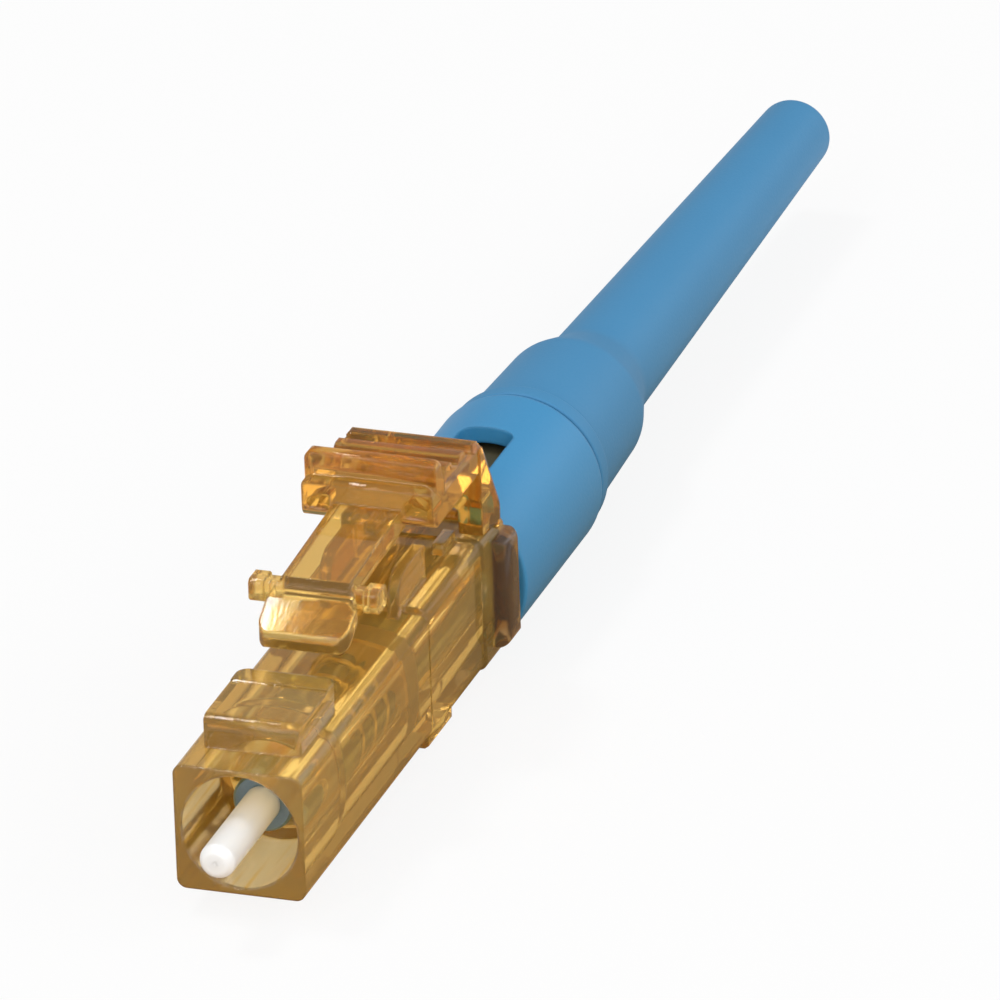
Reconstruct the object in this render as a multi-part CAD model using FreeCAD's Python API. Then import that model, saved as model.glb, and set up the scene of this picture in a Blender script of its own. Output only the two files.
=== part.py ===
import FreeCAD, Part
import math
import os

# Fibre plug of the small square kind, with a latch lever, a spring-loaded ferrule and a strain-relief boot.
# Lengths are in millimetres. The axis of the fibre is Y, the front face of the nose is at Y = 0,
# the rear is towards +Y and the latch is on top, towards +Z.

V = FreeCAD.Vector

# Nose and body of the housing
nose_width = 4.52
nose_corner = 0.35
nose_wall = 0.23
nose_bore_depth = 3.90
bore_lead_in = 0.08
shoulder_wall = 0.70
main_wall = 0.41
rear_lead = 0.65
rear_side_step = 0.03
rear_top_step = 0.24
rear_corner = 0.45
flange_length = 2.10
flange_side_step = 0.11
flange_top_step = 0.10
flange_corner = 0.30
tail_length = 2.00
tail_wall = 0.65
tail_lead_in = 0.12

# Side ribs of the flange
rib_reach = 0.66
rib_corner = 0.48
rib_over_top = 0.04
rib_bottom_inset = 0.61
rib_set_back = 0.65
rib_end_gap = 0.05

# Guard ridge in front of the latch tongue
guard_start = 1.50
guard_length = 3.85
guard_width = 3.42
guard_height = 1.09
guard_lip = 0.05
guard_lip_length = 0.95
guard_front_round = 0.48
guard_front_corner = 0.18
guard_rear_corner = 0.42

# Cheeks and rails beside the latch arm
cheek_lead = 1.15
cheek_length = 2.80
cheek_inner = 1.00
cheek_wall = 0.40
cheek_height = 1.54
cheek_round = 1.25
cheek_edge = 0.18
rail_length = 1.25
rail_height = 0.64

# Foot under the body
foot_set_back = 0.25
foot_length = 2.40
foot_height = 0.70
foot_side_inset = 0.24
foot_chamfer = 0.22

# Tongue, arm and lugs of the latch lever, with heights above the top of the nose
tongue_gap = 1.25
tongue_rise = 1.89
tongue_run = 1.30
tongue_slope = 29.5
tongue_thickness = 0.60
tongue_width = 3.20
tongue_corner = 0.50
tongue_edge = 0.08
step_run = 0.42
step_round = 0.12
arm_clear = 2.44
arm_rise = 0.35
arm_thickness = 0.75
arm_width = 2.40
lug_set_back = 1.85
lug_lift = 2.69
lug_length = 0.95
lug_height = 0.80
lug_span = 4.56
lug_block = 0.52
lug_neck = 0.60
lug_round = 0.18
lug_chamfer = 0.12

# Thumb pad of the latch lever, with heights above the top of the nose
pad_set_back = 7.00
pad_length = 5.00
pad_width = 4.66
pad_clear = 2.81
pad_rear_lift = 3.96
bar_length = 1.30
bar_step = 0.42
bar_lower_height = 1.52
bar_upper_height = 0.83
bar_crest = 0.44
bar_round = 0.22
bar_end_round = 0.35
bar_foot_round = 0.45
ridge_pitch = 1.35
ridge_length = 0.55
ridge_height = 0.22
ridge_drop = 0.215
ridge_foot = 0.15
ridge_edge = 0.08
ridge_inset = 0.12
pocket_width = 0.80
pocket_height = 0.62
pocket_lift = 0.42
pocket_gap = 0.14
pocket_crown = 0.31

# Strut and root of the latch lever
strut_run = 1.35
strut_depth = 1.60
strut_width = 4.76
strut_foot = 0.60
leg_width = 0.85
leg_room = 0.17
arch_height = 1.12
arch_corner = 0.20
root_set_back = 1.65
root_r = 0.25
root_gap = 0.03
root_side_gap = 0.15

# Ferrule and the glass in it
ferrule_r = 0.625
ferrule_reach = 2.43
ferrule_seat = 1.75
ferrule_chamfer = 0.16
ferrule_lead_in = 0.30
ferrule_stem_step = 0.17
fibre_r = 0.0625
fibre_bore_gap = 0.0015

# Carrier of the ferrule
hub_front = 2.34
hub_r = 1.05
hub_gap = 0.05
hub_chamfer = 0.08
seat_gap = 0.02
carrier_flange_gap = 0.05
carrier_flange_length = 1.00
barrel_r = 1.15
passage_r = 0.30
chamber_length = 13.20
chamber_width = 1.30
chamber_height = 1.10
chamber_gap = 0.02
chamber_tail = 0.20
tail_bore_wall = 0.30
slide_travel = 0.50

# Splice plates
keel_width = 0.40
keel_end_gap = 0.40
keel_window_gap = 0.06

# Cam ring
cam_gap = 0.40
cam_length = 4.20
cam_side_gap = 0.35
cam_flat_depth = 0.30
cam_land = 0.60
cam_land_gap = 0.03
cam_throw = 0.12
cam_bore_extra = 0.15
cam_rest_gap = 0.014

# Spring and its retainer
wire_r = 0.11
spring_length = 5.28
coil_turns = 4.0
retainer_length = 1.20
retainer_gap = 0.05
retainer_chamfer = 0.10

# Lead-in tube and crimp tube
funnel_bore_r = 0.20
funnel_mouth_r = 0.55
funnel_length = 0.70
funnel_stand_out = 0.60
crimp_gap = 0.30
crimp_lap = 0.90
crimp_reach = 3.70
crimp_wall = 0.30
crimp_bore_r = 0.50

# Rear sleeve
sleeve_gap = 0.20
sleeve_wall = 0.60
sleeve_rear_chamfer = 0.32
sleeve_front_chamfer = 0.10
sleeve_lip_length = 1.70
sleeve_lip = 0.15
sleeve_room = 0.20
notch_width = 1.95
notch_length = 5.40
notch_corner = 0.40

# Boot
boot_spigot_set_back = 0.20
boot_gap = 0.15
boot_lip_step = 0.28
boot_lip_length = 0.70
boot_lip_chamfer = 0.12
boot_groove = 0.12
boot_collar_step = 0.06
boot_collar_taper = 0.18
boot_collar_length = 4.85
boot_shoulder = 0.66
boot_shoulder_length = 2.00
boot_taper = 0.62
boot_taper_length = 21.60
boot_end_chamfer = 0.40
boot_bore_r = 0.55
boot_bore_chamfer = 0.12
boot_room = 0.12
boot_chamber_room = 1.60
boot_funnel_length = 0.70

# Half widths and heights of the body, and the radii that follow from them
half = nose_width / 2
rear_half = half + rear_side_step
rear_top = half + rear_top_step
flange_half = rear_half + flange_side_step
flange_top = rear_top + flange_top_step
nose_bore_r = half - nose_wall
main_bore_r = half - main_wall
tail_r = main_bore_r + tail_wall

# Places along the latch lever and the housing, from the nose to the rear
guard_end = guard_start + guard_length
tongue_tip_y = guard_end + tongue_gap
pad_front_y = tongue_tip_y + pad_set_back
pad_rear_y = pad_front_y + pad_length
hinge_y = pad_rear_y + strut_run
hinge_z = flange_top
rear_start = pad_front_y - rear_lead
flange_start = hinge_y - root_set_back
flange_end = flange_start + flange_length
tail_end = flange_end + tail_length
shoulder_end = nose_bore_depth + shoulder_wall

# Places along the carrier: its front sits on the shoulder, and its rear follows the tail of the housing
ferrule_end = hub_front + ferrule_seat
carrier_flange_front = shoulder_end + seat_gap
carrier_flange_end = carrier_flange_front + carrier_flange_length
retainer_start = carrier_flange_end + spring_length
cam_start = tail_end + cam_gap
cam_end = cam_start + cam_length
keel_start = cam_start + cam_land + keel_end_gap
keel_end = cam_end - cam_land - keel_end_gap
chamber_end = keel_end + chamber_tail
chamber_start = chamber_end - chamber_length
crimp_start = cam_end + crimp_gap
barrel_end = crimp_start + crimp_lap
tube_end = barrel_end + funnel_stand_out
crimp_end = tube_end + crimp_reach
tail_bore_r = barrel_r - tail_bore_wall
crimp_r = barrel_r + crimp_wall
crimp_rear_r = crimp_bore_r + crimp_wall

# Places along the rear sleeve and the boot
sleeve_start = flange_end + sleeve_gap
sleeve_r = tail_r + sleeve_wall
sleeve_lip_r = tail_r - sleeve_lip
lip_start = cam_end + slide_travel + sleeve_room
sleeve_end = lip_start + sleeve_lip_length
boot_front = lip_start + boot_spigot_set_back
boot_lip_start = sleeve_end + boot_gap
boot_lip_end = boot_lip_start + boot_lip_length
boot_collar_end = boot_lip_end + boot_collar_length
boot_neck_y = boot_collar_end + boot_shoulder_length
boot_end = boot_neck_y + boot_taper_length
boot_lip_r = sleeve_r - boot_lip_step
boot_collar_front_r = boot_lip_r - boot_collar_step
boot_collar_rear_r = boot_collar_front_r - boot_collar_taper
boot_neck_r = boot_collar_rear_r - boot_shoulder
boot_end_r = boot_neck_r - boot_taper
boot_chamber_r = crimp_r + boot_room
boot_chamber_end = crimp_end + slide_travel + boot_chamber_room


def outline(points, place):
    """Closed face from points (a, b, corner), put into space by the function place.

    A corner above zero is the radius of a round, and one below zero is the length of a straight bevel.
    A round takes no more than half of the shorter edge beside it.
    """
    count = len(points)
    entries = []
    for i in range(count):
        ax, ay, _ = points[i - 1]
        bx, by, corner = points[i]
        cx, cy, _ = points[(i + 1) % count]
        before = math.hypot(ax - bx, ay - by)
        after = math.hypot(cx - bx, cy - by)
        ux, uy = (ax - bx) / before, (ay - by) / before
        wx, wy = (cx - bx) / after, (cy - by) / after
        opening = math.acos(max(-1.0, min(1.0, ux * wx + uy * wy)))
        if corner == 0:
            entries.append([(bx, by)])
            continue
        wanted = corner / math.tan(opening / 2) if corner > 0 else -corner
        reach = min(wanted, before / 2, after / 2)
        first = (bx + ux * reach, by + uy * reach)
        last = (bx + wx * reach, by + wy * reach)
        if corner < 0:
            entries.append([first, last])
            continue
        fillet = reach * math.tan(opening / 2)
        mx, my = ux + wx, uy + wy
        size = math.hypot(mx, my)
        depth = fillet / math.sin(opening / 2) - fillet
        entries.append([first, (bx + mx / size * depth, by + my / size * depth), last])
    edges = []
    for i in range(count):
        here = [place(*point) for point in entries[i]]
        ahead = place(*entries[(i + 1) % count][0])
        if len(here) == 3:
            edges.append(Part.Arc(*here).toShape())
        if len(here) == 2:
            edges.append(Part.LineSegment(*here).toShape())
        if not here[-1].isEqual(ahead, 1e-6):
            edges.append(Part.LineSegment(here[-1], ahead).toShape())
    return Part.Face(Part.Wire(edges))


def across(points, x_from, x_to):
    """Side outline (y, z, corner) drawn out along X."""
    return outline(points, lambda y, z: V(x_from, y, z)).extrude(V(x_to - x_from, 0, 0))


def along(points, y_from, y_to):
    """Front outline (x, z, corner) drawn out along Y."""
    return outline(points, lambda x, z: V(x, y_from, z)).extrude(V(0, y_to - y_from, 0))


def upward(points, z_from, z_to):
    """Plan outline (x, y, corner) drawn out along Z."""
    return outline(points, lambda x, y: V(x, y, z_from)).extrude(V(0, 0, z_to - z_from))


def turned(points):
    """Half section (radius, y, corner) turned about the axis of the fibre."""
    return outline(points, lambda r, y: V(r, y, 0)).revolve(V(0, 0, 0), V(0, 1, 0), 360)


def rod(radius, y_from, y_to):
    return Part.makeCylinder(radius, y_to - y_from, V(0, y_from, 0), V(0, 1, 0))


def crossbar(radius, width, y, z):
    return Part.makeCylinder(radius, width, V(-width / 2, y, z), V(1, 0, 0))


def rectangle(left, right, low, high, corner):
    return [(left, low, corner), (right, low, corner), (right, high, corner), (left, high, corner)]


def joined(*shapes):
    whole = shapes[0]
    for shape in shapes[1:]:
        whole = whole.fuse(shape)
    return whole.removeSplitter()


def both_sides(right):
    """A shape on the right, and its mirror picture on the left."""
    return joined(right, right.mirror(V(0, 0, 0), V(1, 0, 0)))


# Housing: square nose, raised rear part, flange with ribs, tail, guard ridge, cheeks and foot
nose = along(rectangle(-half, half, -half, half, nose_corner), 0, rear_start)
rear_part = along([(-rear_half, -half, nose_corner), (rear_half, -half, nose_corner),
                   (rear_half, rear_top, rear_corner), (-rear_half, rear_top, rear_corner)],
                  rear_start, flange_start)
flange = along([(-flange_half, -half, nose_corner), (flange_half, -half, nose_corner),
                (flange_half, flange_top, flange_corner), (-flange_half, flange_top, flange_corner)],
               flange_start, flange_end)
rib_edge = flange_half + rib_reach
rib_top = half + rib_over_top
rib_bottom = rib_bottom_inset - half
rib_plan = rectangle(-rib_edge, rib_edge, flange_start + rib_set_back, flange_end - rib_end_gap, rib_corner)
rib_front = rectangle(-rib_edge, rib_edge, rib_bottom, rib_top, rib_corner)
ribs = upward(rib_plan, rib_bottom, rib_top).common(along(rib_front, flange_start, flange_end))
tail = turned([(0, flange_start, 0), (tail_r, flange_start, 0), (tail_r, tail_end, -tail_lead_in),
               (0, tail_end, 0)])
guard_top = half + guard_height
guard_lip_z = guard_top + guard_lip
guard_half = guard_width / 2
guard_lip_y = guard_end - guard_lip_length
guard_side = [(guard_start, 0, 0), (guard_start, guard_top, guard_front_round), (guard_lip_y, guard_top, 0),
              (guard_lip_y, guard_lip_z, 0), (guard_end, guard_lip_z, 0), (guard_end, 0, 0)]
guard_plan = [(-guard_half, guard_start, guard_front_corner), (guard_half, guard_start, guard_front_corner),
              (guard_half, guard_end, guard_rear_corner), (-guard_half, guard_end, guard_rear_corner)]
guard = across(guard_side, -guard_half, guard_half).common(upward(guard_plan, 0, guard_lip_z))
cheek_start = pad_front_y - cheek_lead
cheek_end = cheek_start + cheek_length
cheek_outer = cheek_inner + cheek_wall
cheek_top = half + cheek_height
rail_top = half + rail_height
cheek_side = [(cheek_start, main_bore_r, 0), (cheek_start, cheek_top, cheek_round),
              (cheek_end, cheek_top, cheek_edge), (cheek_end, main_bore_r, 0)]
cheeks = both_sides(across(cheek_side, cheek_inner, cheek_outer))
rail_side = rectangle(flange_start - rail_length, flange_start, main_bore_r, rail_top, 0)
rails = both_sides(across(rail_side, cheek_inner, cheek_outer))
foot_start = rear_start + foot_set_back
foot_end = foot_start + foot_length
foot_half = half - foot_side_inset
foot_bottom = -half - foot_height
foot = across(rectangle(foot_start, foot_end, foot_bottom, 0, -foot_chamfer), -foot_half, foot_half)
foot_front = rectangle(-foot_half, foot_half, foot_bottom, half, -foot_chamfer)
foot = foot.common(along(foot_front, foot_start, foot_end))
hinge_groove = crossbar(root_r + root_gap, strut_width + 2 * root_side_gap, hinge_y, hinge_z)
inside = turned([(0, 0, 0), (nose_bore_r + bore_lead_in, 0, 0), (nose_bore_r, bore_lead_in, 0),
                 (nose_bore_r, nose_bore_depth, 0), (hub_r + hub_gap, nose_bore_depth, 0),
                 (hub_r + hub_gap, shoulder_end, 0), (main_bore_r, shoulder_end, 0),
                 (main_bore_r, tail_end, 0), (0, tail_end, 0)])
housing = joined(nose, rear_part, flange, ribs, tail, guard, cheeks, rails, foot)
housing = housing.cut(inside).cut(hinge_groove)

# Latch lever: tongue, arm and lugs
slope = math.tan(math.radians(tongue_slope))
tip_top_z = half + tongue_rise
tip_bottom_z = tip_top_z - tongue_thickness
arm_bottom_z = half + arm_clear
arm_top_z = arm_bottom_z + arm_thickness
step_y = tongue_tip_y + tongue_run
step_end_y = step_y + step_run
bar_rear_y = pad_front_y + bar_length
arm_side = [(tongue_tip_y, tip_bottom_z, -tongue_edge), (tongue_tip_y, tip_top_z, -tongue_edge),
            (step_y, tip_top_z + tongue_run * slope, 0), (step_end_y, arm_top_z, step_round),
            (bar_rear_y, arm_top_z + arm_rise, 0), (bar_rear_y, arm_bottom_z + arm_rise, 0),
            (tongue_tip_y + (arm_bottom_z - tip_bottom_z) / slope, arm_bottom_z, arm_thickness)]
lug_y = tongue_tip_y + lug_set_back
lug_z = half + lug_lift
tongue_half = tongue_width / 2
arm_half = arm_width / 2
arm_plan = [(-tongue_half, tongue_tip_y, tongue_corner), (tongue_half, tongue_tip_y, tongue_corner),
            (tongue_half, step_y, lug_round), (arm_half, step_end_y, lug_round),
            (arm_half, bar_rear_y, 0), (-arm_half, bar_rear_y, 0),
            (-arm_half, step_end_y, lug_round), (-tongue_half, step_y, lug_round)]
arm = across(arm_side, -tongue_half, tongue_half).common(upward(arm_plan, 0, arm_top_z + arm_rise))
lug_half = lug_span / 2
neck_side = rectangle(lug_y - lug_neck / 2, lug_y + lug_neck / 2,
                      lug_z - lug_neck / 2, lug_z + lug_neck / 2, 0)
lug_side = rectangle(lug_y - lug_length / 2, lug_y + lug_length / 2, lug_z - lug_height / 2,
                     lug_z + lug_height / 2, -lug_chamfer)
neck = across(neck_side, -lug_half, lug_half)
lugs = both_sides(across(lug_side, lug_half - lug_block, lug_half))

# Latch lever: thumb pad with a stepped bar in front, pockets in its foot, and ridges on the deck behind
pad_half = pad_width / 2
pad_bottom_z = half + pad_clear
pad_rear_z = half + pad_rear_lift
bar_step_y = pad_front_y + bar_step
bar_step_z = pad_bottom_z + bar_lower_height
bar_top_z = bar_step_z + bar_upper_height
ridge_y = [pad_rear_y - ridge_length - ridge_pitch * left for left in (2, 1, 0)]
ridge_z = [pad_rear_z + ridge_drop * left for left in (2, 1, 0)]
lower_bar = across([(pad_front_y, pad_bottom_z, bar_foot_round), (pad_front_y, bar_step_z, bar_round),
                    (bar_rear_y, bar_step_z, 0), (bar_rear_y, pad_bottom_z, 0)], -pad_half, pad_half)
lower_ends = along([(-pad_half, pad_bottom_z, 0), (pad_half, pad_bottom_z, 0),
                    (pad_half, bar_step_z, bar_end_round), (-pad_half, bar_step_z, bar_end_round)],
                   pad_front_y, bar_rear_y)
upper_bar = across([(bar_step_y, pad_bottom_z, 0), (bar_step_y, bar_top_z, bar_round),
                    (bar_step_y + bar_crest, bar_top_z, bar_round),
                    (bar_rear_y, ridge_z[0] - ridge_height, 0), (bar_rear_y, pad_bottom_z, 0)],
                   -pad_half, pad_half)
upper_ends = along([(-pad_half, pad_bottom_z, 0), (pad_half, pad_bottom_z, 0),
                    (pad_half, bar_top_z, bar_end_round), (-pad_half, bar_top_z, bar_end_round)],
                   pad_front_y, bar_rear_y)
deck_side = [(bar_step_y, pad_bottom_z, 0), (bar_step_y, ridge_z[0] - ridge_height, 0)]
for y, z in zip(ridge_y, ridge_z):
    deck_side += [(y - ridge_foot, z - ridge_height, 0), (y, z, -ridge_edge),
                  (y + ridge_length, z, -ridge_edge)]
    if y < ridge_y[-1]:
        deck_side.append((y + ridge_length + ridge_foot, z - ridge_height, 0))
deck_side.append((pad_rear_y, pad_bottom_z, 0))
deck_half = pad_half - ridge_inset
deck_ledge_z = pad_rear_z - ridge_height
deck_front = [(-pad_half, pad_bottom_z, 0), (pad_half, pad_bottom_z, 0), (pad_half, deck_ledge_z, 0),
              (deck_half, deck_ledge_z + ridge_inset, 0), (deck_half, bar_top_z, 0),
              (-deck_half, bar_top_z, 0), (-deck_half, deck_ledge_z + ridge_inset, 0),
              (-pad_half, deck_ledge_z, 0)]
deck = across(deck_side, -pad_half, pad_half).common(along(deck_front, bar_step_y, pad_rear_y))
pocket_left = arm_half + pocket_gap
pocket_right = pocket_left + pocket_width
pocket_floor = pad_bottom_z + pocket_lift
pocket_front = [(pocket_left, pocket_floor, pocket_gap), (pocket_right, pocket_floor, pocket_gap),
                (pocket_right, pocket_floor + pocket_height - pocket_crown, pocket_crown),
                (pocket_left, pocket_floor + pocket_height, pocket_gap)]
pockets = both_sides(along(pocket_front, pad_front_y, bar_rear_y - pocket_gap))
pad = joined(lower_bar.common(lower_ends), upper_bar.common(upper_ends), deck).cut(pockets)

# Latch lever: strut with an arch between its two legs, and the root on which the lever bends
strut_half = strut_width / 2
strut_front_y = hinge_y - strut_depth
strut_rear_y = hinge_y + root_r
strut_side = [(hinge_y - root_r, hinge_z, 0), (strut_front_y, hinge_z + leg_room, 0),
              (strut_front_y, pad_rear_z - ridge_height, 0), (pad_rear_y, pad_rear_z - ridge_height, 0),
              (strut_rear_y, hinge_z + strut_foot, strut_foot), (strut_rear_y, hinge_z, 0)]
arch_half = strut_half - leg_width
arch_top_z = hinge_z + arch_height
arch = along([(-arch_half, hinge_z, 0), (arch_half, hinge_z, 0), (arch_half, arch_top_z, arch_corner),
              (-arch_half, arch_top_z, arch_corner)], strut_front_y, strut_rear_y)
strut = across(strut_side, -strut_half, strut_half).cut(arch)
root = crossbar(root_r, strut_width, hinge_y, hinge_z)
latch_lever = joined(arm, neck, lugs, pad, strut, root)

# Ferrule with a stem in the hub, and a conical mouth at its rear for the fibre
fibre_bore_r = fibre_r + fibre_bore_gap
stem_r = ferrule_r - ferrule_stem_step
ferrule = turned([(fibre_bore_r, -ferrule_reach, 0), (ferrule_r, -ferrule_reach, -ferrule_chamfer),
                  (ferrule_r, hub_front, 0), (stem_r, hub_front, 0), (stem_r, ferrule_end, 0),
                  (ferrule_lead_in, ferrule_end, 0), (fibre_bore_r, ferrule_end - ferrule_lead_in, 0)])

# Stub of glass fibre, polished flush with the ferrule and ending in the middle of the splice
fibre_stub = rod(fibre_r, -ferrule_reach, (chamber_start + chamber_end) / 2)

# Carrier: hub, spring flange and long barrel with the splice chamber
carrier_flange_r = main_bore_r - carrier_flange_gap
ferrule_holder = turned([(passage_r, ferrule_end, 0), (stem_r, ferrule_end, 0), (stem_r, hub_front, 0),
                         (hub_r, hub_front, -hub_chamfer), (hub_r, carrier_flange_front, 0),
                         (carrier_flange_r, carrier_flange_front, -hub_chamfer),
                         (carrier_flange_r, carrier_flange_end, 0), (barrel_r, carrier_flange_end, 0),
                         (barrel_r, barrel_end, 0), (tail_bore_r, barrel_end, 0),
                         (tail_bore_r, chamber_end, 0), (passage_r, chamber_end, 0)])
chamber_half = chamber_width / 2
chamber_top = chamber_height / 2
chamber = along(rectangle(-chamber_half, chamber_half, -chamber_top, chamber_top, 0),
                chamber_start, chamber_end)
keel_half = keel_width / 2
keel_slot = along(rectangle(-keel_half - keel_window_gap, keel_half + keel_window_gap, -barrel_r, 0, 0),
                  keel_start - keel_window_gap, keel_end + keel_window_gap)
ferrule_holder = ferrule_holder.cut(chamber).cut(keel_slot)

# Splice plates: the fibre lies in the groove of the lower one, and its keel reaches the cam
plate_half = chamber_half - chamber_gap
plate_top = chamber_top - chamber_gap
plate_start = chamber_start + chamber_gap
plate_end = chamber_end - chamber_gap
groove_floor = fibre_r * math.sqrt(2)
groove = along([(-groove_floor, 0, 0), (0, -groove_floor, 0), (groove_floor, 0, 0)], plate_start, plate_end)
upper_splice_plate = along(rectangle(-plate_half, plate_half, fibre_r, plate_top, 0),
                           plate_start, plate_end)
cam_bore_r = barrel_r + cam_bore_extra
keel_reach = math.sqrt(cam_bore_r ** 2 - cam_throw ** 2) - cam_rest_gap
keel = along(rectangle(-keel_half, keel_half, -keel_reach, -groove_floor, 0), keel_start, keel_end)
keel = keel.common(rod(keel_reach, keel_start, keel_end))
lower_plate = along(rectangle(-plate_half, plate_half, -plate_top, 0, 0), plate_start, plate_end)
lower_splice_plate = joined(lower_plate.cut(groove), keel)

# Cam ring: two bearing lands on the barrel and an eccentric bore between them that presses the keel
cam_r = tail_r - cam_side_gap
cam_flat = cam_r - cam_flat_depth
cam_ring = turned([(barrel_r + cam_land_gap, cam_start, 0), (cam_r, cam_start, 0),
                   (cam_r, cam_end, 0), (barrel_r + cam_land_gap, cam_end, 0)])
cam_flats = along(rectangle(-cam_flat, cam_flat, -cam_r, cam_r, 0), cam_start + cam_land, cam_end)
cam_collar = rod(cam_r, cam_start, cam_start + cam_land)
cam_bore = Part.makeCylinder(cam_bore_r, cam_length - 2 * cam_land, V(0, cam_start + cam_land, -cam_throw),
                             V(0, 1, 0))
cam_ring = cam_ring.common(joined(cam_flats, cam_collar)).cut(cam_bore)

# Coil spring of six-sided wire between the flange of the carrier and the retainer
coil_r = (barrel_r + main_bore_r) / 2
coil_height = spring_length - 2 * wire_r
corners = [V(coil_r + wire_r * math.cos(math.radians(turn)), 0, wire_r * math.sin(math.radians(turn)))
           for turn in range(0, 420, 60)]
helix = Part.makeHelix(coil_height / coil_turns, coil_height, coil_r)
coil_spring = Part.Wire(helix).makePipeShell([Part.makePolygon(corners)], True, True)
coil_spring.rotate(V(0, 0, 0), V(1, 0, 0), -90)
coil_spring.translate(V(0, carrier_flange_end + wire_r, 0))

# Retainer pressed into the housing behind the spring
retainer_end = retainer_start + retainer_length
spring_retainer = turned([(barrel_r + retainer_gap, retainer_start, 0),
                          (main_bore_r, retainer_start, -retainer_chamfer), (main_bore_r, retainer_end, 0),
                          (barrel_r + retainer_gap, retainer_end, 0)])

# Lead-in tube in the tail of the carrier, with a wide mouth for the field fibre
lead_in_tube = turned([(funnel_bore_r, chamber_end, 0), (tail_bore_r, chamber_end, 0),
                       (tail_bore_r, tube_end, 0), (funnel_mouth_r, tube_end, 0),
                       (funnel_bore_r, tube_end - funnel_length, 0)])

# Crimp tube over the tail of the barrel
crimp_tube = turned([(barrel_r, crimp_start, 0), (crimp_r, crimp_start, 0), (crimp_r, tube_end, 0),
                     (crimp_rear_r, tube_end + crimp_wall, 0), (crimp_rear_r, crimp_end, 0),
                     (crimp_bore_r, crimp_end, 0), (crimp_bore_r, tube_end, 0), (barrel_r, tube_end, 0)])

# Rear sleeve pressed on the tail of the housing, with a notch on top
rear_sleeve = turned([(tail_r, sleeve_start, 0), (sleeve_r, sleeve_start, -sleeve_front_chamfer),
                      (sleeve_r, sleeve_end, -sleeve_rear_chamfer), (sleeve_lip_r, sleeve_end, 0),
                      (sleeve_lip_r, lip_start, 0), (tail_r, lip_start - sleeve_lip, 0)])
notch_half = notch_width / 2
notch_end = sleeve_start + notch_length
notch = upward([(-notch_half, sleeve_start, 0), (notch_half, sleeve_start, 0),
                (notch_half, notch_end, notch_corner), (-notch_half, notch_end, notch_corner)], 0, sleeve_r)
rear_sleeve = rear_sleeve.cut(notch)

# Boot: spigot in the sleeve, lip, collar, rounded shoulder and long taper
boot = turned([(boot_chamber_r, boot_front, 0), (sleeve_lip_r, boot_front, 0),
               (sleeve_lip_r, boot_lip_start, 0), (boot_lip_r, boot_lip_start, -boot_lip_chamfer),
               (boot_lip_r, boot_lip_end, -boot_lip_chamfer),
               (boot_collar_front_r - boot_groove, boot_lip_end, 0),
               (boot_collar_front_r, boot_lip_end + boot_groove, 0),
               (boot_collar_rear_r, boot_collar_end, 0),
               (boot_neck_r, boot_neck_y, 0), (boot_end_r, boot_end, -boot_end_chamfer),
               (boot_bore_r, boot_end, -boot_bore_chamfer),
               (boot_bore_r, boot_chamber_end + boot_funnel_length, 0),
               (boot_chamber_r, boot_chamber_end, 0)])

pieces = {
    "housing": housing,
    "latch_lever": latch_lever,
    "ferrule": ferrule,
    "fibre_stub": fibre_stub,
    "ferrule_holder": ferrule_holder,
    "upper_splice_plate": upper_splice_plate,
    "lower_splice_plate": lower_splice_plate,
    "cam_ring": cam_ring,
    "coil_spring": coil_spring,
    "spring_retainer": spring_retainer,
    "lead_in_tube": lead_in_tube,
    "crimp_tube": crimp_tube,
    "rear_sleeve": rear_sleeve,
    "boot": boot,
}
os.makedirs("parts", exist_ok=True)
for name, shape in pieces.items():
    solid = shape.Solids[0]
    print(name, "solids", len(shape.Solids), "valid", solid.isValid(), "volume", round(solid.Volume, 4))
    solid.exportStep("parts/" + name + ".step")
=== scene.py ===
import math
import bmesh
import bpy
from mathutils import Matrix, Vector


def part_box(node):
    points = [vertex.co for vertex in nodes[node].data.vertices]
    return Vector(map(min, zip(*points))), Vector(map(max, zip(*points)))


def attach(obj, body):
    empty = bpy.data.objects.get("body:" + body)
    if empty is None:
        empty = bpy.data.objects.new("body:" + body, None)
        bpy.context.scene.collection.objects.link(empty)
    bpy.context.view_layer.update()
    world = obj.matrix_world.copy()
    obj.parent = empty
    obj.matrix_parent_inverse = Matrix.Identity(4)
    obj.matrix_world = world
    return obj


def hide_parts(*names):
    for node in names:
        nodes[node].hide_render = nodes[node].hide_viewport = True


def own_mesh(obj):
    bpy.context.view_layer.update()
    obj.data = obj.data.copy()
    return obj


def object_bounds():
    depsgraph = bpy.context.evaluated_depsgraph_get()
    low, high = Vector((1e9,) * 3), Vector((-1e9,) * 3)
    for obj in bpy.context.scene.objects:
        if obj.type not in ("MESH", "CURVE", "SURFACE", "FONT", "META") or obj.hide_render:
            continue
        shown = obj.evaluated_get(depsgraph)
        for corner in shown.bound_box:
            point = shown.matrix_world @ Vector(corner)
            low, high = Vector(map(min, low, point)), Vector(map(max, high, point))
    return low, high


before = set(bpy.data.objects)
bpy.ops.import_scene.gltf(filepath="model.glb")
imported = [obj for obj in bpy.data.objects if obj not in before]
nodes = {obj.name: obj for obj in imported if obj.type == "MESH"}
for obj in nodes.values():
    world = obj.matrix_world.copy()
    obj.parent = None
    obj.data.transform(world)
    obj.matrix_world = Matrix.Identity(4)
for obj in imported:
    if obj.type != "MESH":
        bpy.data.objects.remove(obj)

# %% [markdown]
# A small fibre plug, dressed for its portrait.
# The CAD frame is loaded above, and everything here is in metres in the same frame: the fibre runs along Y,
# the nose is at Y = 0 and the latch is on top. A value in millimetres is multiplied by MM where it is used.
# The box of the bare CAD model is kept.

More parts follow.
